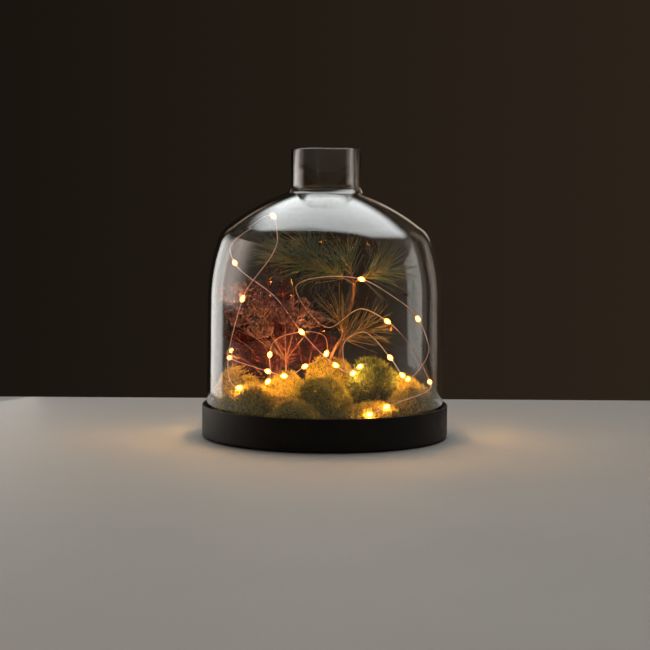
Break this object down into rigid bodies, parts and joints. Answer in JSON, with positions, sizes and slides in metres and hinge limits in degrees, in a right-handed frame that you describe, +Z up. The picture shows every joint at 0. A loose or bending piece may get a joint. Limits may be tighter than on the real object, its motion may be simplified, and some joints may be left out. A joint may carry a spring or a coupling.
{
  "type": "glass cloche light",
  "caption": "Open-necked glass bell on a round black tray, filled with moss, dried plants and a string of small warm lights fed from a battery box.",
  "frame": {"origin": "centre of the tray on the surface that the light stands on", "axes": "+Z up along the bell's axis, the pictured front faces -Y, +X is to the right in the picture"},
  "size_m": [0.24, 0.24, 0.2809],
  "materials": {
    "tray": "near-black powder coat, semi-matt",
    "felt": "black felt",
    "glass": "clear blown glass",
    "moss_bed": "flat layer of dark moss",
    "moss": "preserved reindeer moss, matt",
    "pine": "green needles on a brown twig",
    "fern": "dried and dyed fern, matt",
    "dried_flower": "dried seed heads, matt",
    "copper_wire": "enamelled copper, satin",
    "lamp_resin": "clear resin drop over a warm LED, lit",
    "box_plastic": "fine texture",
    "cover_plastic": "fine texture",
    "knob_plastic": "smooth grey",
    "gland_rubber": "matt",
    "battery_sleeve": "printed sleeve without marks, satin",
    "contact_steel": "nickel plated",
    "board": "green circuit board"
  },
  "bodies": {
    "base": {"base_tray": "tray", "battery_cell_1": "battery_sleeve", "battery_cell_2": "battery_sleeve", "box_shell": "box_plastic", "circuit_board": "board", "contact_plate_1": "contact_steel", "contact_plate_2": "contact_steel", "contact_spring_1": "contact_steel", "contact_spring_2": "contact_steel", "dried_flower": "dried_flower", "felt_base": "felt", "fern_frond_left": "fern", "fern_frond_low": "fern", "fern_frond_right": "fern", "fern_frond_tall": "fern", "lamp_01": "lamp_resin", "lamp_02": "lamp_resin", "lamp_03": "lamp_resin", "lamp_04": "lamp_resin", "lamp_05": "lamp_resin", "lamp_06": "lamp_resin", "lamp_07": "lamp_resin", "lamp_08": "lamp_resin", "lamp_09": "lamp_resin", "lamp_10": "lamp_resin", "lamp_11": "lamp_resin", "lamp_12": "lamp_resin", "lamp_13": "lamp_resin", "lamp_14": "lamp_resin", "lamp_15": "lamp_resin", "lamp_16": "lamp_resin", "lamp_17": "lamp_resin", "lamp_18": "lamp_resin", "lamp_19": "lamp_resin", "lamp_20": "lamp_resin", "lamp_21": "lamp_resin", "lamp_22": "lamp_resin", "lamp_23": "lamp_resin", "lamp_24": "lamp_resin", "lamp_25": "lamp_resin", "light_wire": "copper_wire", "moss_back_centre": "moss", "moss_back_left": "moss", "moss_back_right": "moss", "moss_bed": "moss_bed", "moss_far_right": "moss", "moss_front_centre": "moss", "moss_front_left": "moss", "moss_front_low": "moss", "moss_front_right": "moss", "moss_middle_left": "moss", "moss_right_ball": "moss", "moss_right_low": "moss", "pine_branch_low": "pine", "pine_branch_top": "pine", "wire_gland": "gland_rubber"},
    "cloche": {"glass_cloche": "glass"},
    "cover": {"battery_cover": "cover_plastic"},
    "switch": {"switch_slider": "knob_plastic"}
  },
  "joints": [
    {"name": "cloche_lift", "type": "slide", "parent": "base", "child": "cloche", "axis": [0, 0, 1], "range_m": [0, 0.3]},
    {"name": "battery_cover_slide", "type": "slide", "parent": "base", "child": "cover", "axis": [1, 0, 0], "range_m": [0, 0.056]},
    {"name": "switch_slide", "type": "slide", "parent": "base", "child": "switch", "axis": [0, 1, 0], "range_m": [0, 0.003]}
  ]
}
